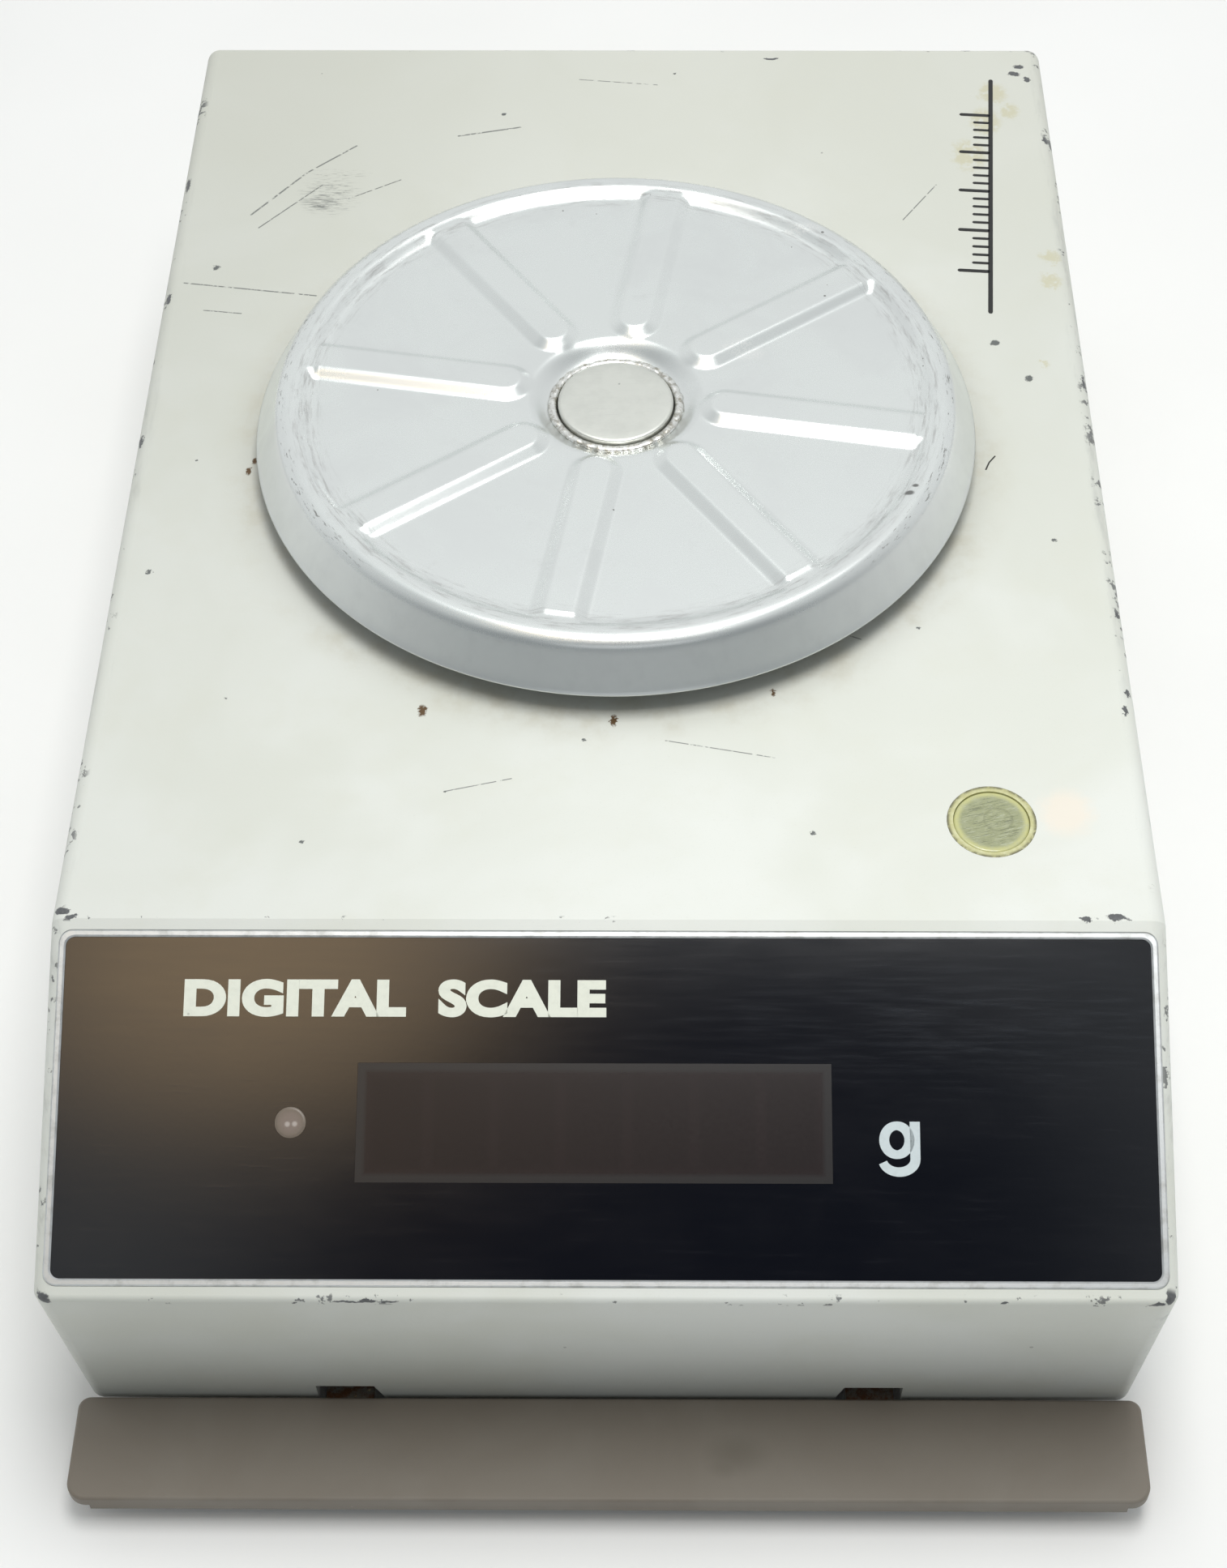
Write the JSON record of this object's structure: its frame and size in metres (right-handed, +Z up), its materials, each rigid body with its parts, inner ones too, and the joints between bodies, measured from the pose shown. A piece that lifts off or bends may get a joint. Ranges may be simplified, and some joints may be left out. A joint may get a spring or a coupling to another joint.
{
  "type": "digital gram scale",
  "caption": "Bench-top digital gram scale: sloped display face, round ribbed weighing pan, bubble level and a control bar across the front.",
  "frame": {"origin": "on the bench, under the middle of the balance", "axes": "+X to the user's right, +Y from the control bar to the back wall, +Z up"},
  "size_m": [0.1948, 0.3262, 0.0967],
  "materials": {
    "painted_casting": "fine textured enamel",
    "zinc_steel": "zinc plated",
    "trim_metal": "satin",
    "fascia_black": "gloss",
    "red_filter": "gloss",
    "lens_smoke": "gloss",
    "circuit_board": "satin",
    "chip_plastic": "matte",
    "lamp_red": "gloss",
    "screw_steel": "plated",
    "cup_plastic": "satin",
    "vial_fluid": "scratched gloss",
    "capacitor_sleeve": "gloss",
    "cell_aluminium": "machined",
    "connector_plastic": "matte",
    "ribbon_grey": "matte",
    "laminated_iron": "varnished",
    "winding_tape": "satin",
    "connector_black": "satin",
    "brass_pins": "plain",
    "fuse_glass": "clear",
    "foot_rubber": "matte",
    "spring_steel": "plain",
    "bar_plastic": "fine textured",
    "rusty_steel": "rusted",
    "pan_aluminium": "satin, worn",
    "ring_aluminium": "bright, worn",
    "hub_aluminium": "brushed",
    "coil_copper": "enamelled",
    "foot_plastic": "satin"
  },
  "bodies": {
    "housing": {"top_housing": "painted_casting", "base_plate": "zinc_steel", "fascia_trim": "trim_metal", "fascia_panel": "fascia_black", "display_filter": "red_filter", "indicator_lens": "lens_smoke", "display_board": "circuit_board", "digit_modules": "chip_plastic", "indicator_lamp": "lamp_red", "display_screws": "screw_steel", "level_cup": "cup_plastic", "level_vial": "vial_fluid", "main_board": "circuit_board", "board_chips": "chip_plastic", "filter_capacitors": "capacitor_sleeve", "heat_sink": "cell_aluminium", "voltage_regulator": "chip_plastic", "board_connectors": "connector_plastic", "board_screws": "screw_steel", "ribbon_cable": "ribbon_grey", "transformer_core": "laminated_iron", "transformer_winding": "winding_tape", "transformer_strap": "zinc_steel", "mains_inlet": "connector_black", "inlet_pins": "brass_pins", "fuse_holder": "connector_black", "fuse": "fuse_glass", "cell_frame": "cell_aluminium", "cell_screws": "screw_steel", "magnet_pot": "laminated_iron", "magnet_core": "laminated_iron", "overload_stop": "screw_steel", "position_sensor": "chip_plastic", "front_feet": "foot_rubber", "foot_bushes": "brass_pins", "shaft_brackets": "zinc_steel", "return_springs": "spring_steel", "bar_sensor": "chip_plastic", "cover_screws": "screw_steel"},
    "fuse_cap": {"fuse_cap": "connector_black"},
    "control_bar": {"control_bar": "bar_plastic", "bar_arms": "rusty_steel", "pivot_shaft": "spring_steel", "bar_screws": "screw_steel"},
    "pan_carrier": {"hanger": "cell_aluminium", "coupling_strip": "spring_steel", "pan_carrier": "cell_aluminium", "carrier_pads": "foot_rubber"},
    "pan": {"pan": "pan_aluminium", "pan_ring": "ring_aluminium", "pan_hub": "hub_aluminium"},
    "upper_guide": {"upper_guide": "cell_aluminium"},
    "lower_guide": {"lower_guide": "cell_aluminium"},
    "beam": {"beam": "cell_aluminium", "coil": "coil_copper"},
    "level_pad_left": {"level_pad_left": "foot_rubber"},
    "level_pad_right": {"level_pad_right": "foot_rubber"},
    "level_screw_left": {"level_screw_left": "foot_plastic"},
    "level_screw_right": {"level_screw_right": "foot_plastic"}
  },
  "joints": [
    {"name": "bar_press", "type": "hinge", "parent": "housing", "child": "control_bar", "pos_m": [0, -0.06, 0.016], "axis": [1, 0, 0], "range_deg": [-1.5, 1.5], "stiffness_Nm_per_rad": 6, "springref_deg": -0.22},
    {"name": "carrier_travel", "type": "slide", "parent": "housing", "child": "pan_carrier", "axis": [0, 0, 1], "range_m": [-0.0003, 0], "stiffness_N_per_m": 20000, "springref_m": 0.0006},
    {"name": "pan_lift", "type": "slide", "parent": "pan_carrier", "child": "pan", "axis": [0, 0, 1], "range_m": [0, 0.03]},
    {"name": "upper_guide_bend", "type": "hinge", "parent": "housing", "child": "upper_guide", "pos_m": [0, 0.0862, 0.06], "axis": [1, 0, 0], "range_deg": [-0.02, 0.35]},
    {"name": "lower_guide_bend", "type": "hinge", "parent": "housing", "child": "lower_guide", "pos_m": [0, 0.0862, 0.024], "axis": [1, 0, 0], "range_deg": [-0.02, 0.35]},
    {"name": "beam_tilt", "type": "hinge", "parent": "housing", "child": "beam", "pos_m": [0, 0.054, 0.047], "axis": [1, 0, 0], "range_deg": [-0.02, 1.5]},
    {"name": "level_left_travel", "type": "slide", "parent": "housing", "child": "level_pad_left", "axis": [0, 0, 1], "range_m": [-0.003, 0]},
    {"name": "level_left_turn", "type": "hinge", "parent": "level_pad_left", "child": "level_screw_left", "pos_m": [-0.082, 0.142, 0.013], "axis": [0, 0, 1], "range_deg": [-1084, 0]},
    {"name": "level_right_travel", "type": "slide", "parent": "housing", "child": "level_pad_right", "axis": [0, 0, 1], "range_m": [-0.003, 0]},
    {"name": "level_right_turn", "type": "hinge", "parent": "level_pad_right", "child": "level_screw_right", "pos_m": [0.082, 0.142, 0.013], "axis": [0, 0, 1], "range_deg": [-1084, 0]},
    {"name": "fuse_cap_turn", "type": "hinge", "parent": "housing", "child": "fuse_cap", "pos_m": [-0.036, 0.16, 0.034], "axis": [0, 1, 0], "range_deg": [-45, 0]}
  ],
  "couplings": [
    {"joint": "upper_guide_bend", "follows": "carrier_travel", "rad_per_m": -17.809},
    {"joint": "lower_guide_bend", "follows": "carrier_travel", "rad_per_m": -17.809},
    {"joint": "beam_tilt", "follows": "carrier_travel", "rad_per_m": -83.333},
    {"joint": "level_left_turn", "follows": "level_left_travel", "rad_per_m": 6283.2},
    {"joint": "level_right_turn", "follows": "level_right_travel", "rad_per_m": 6283.2}
  ]
}
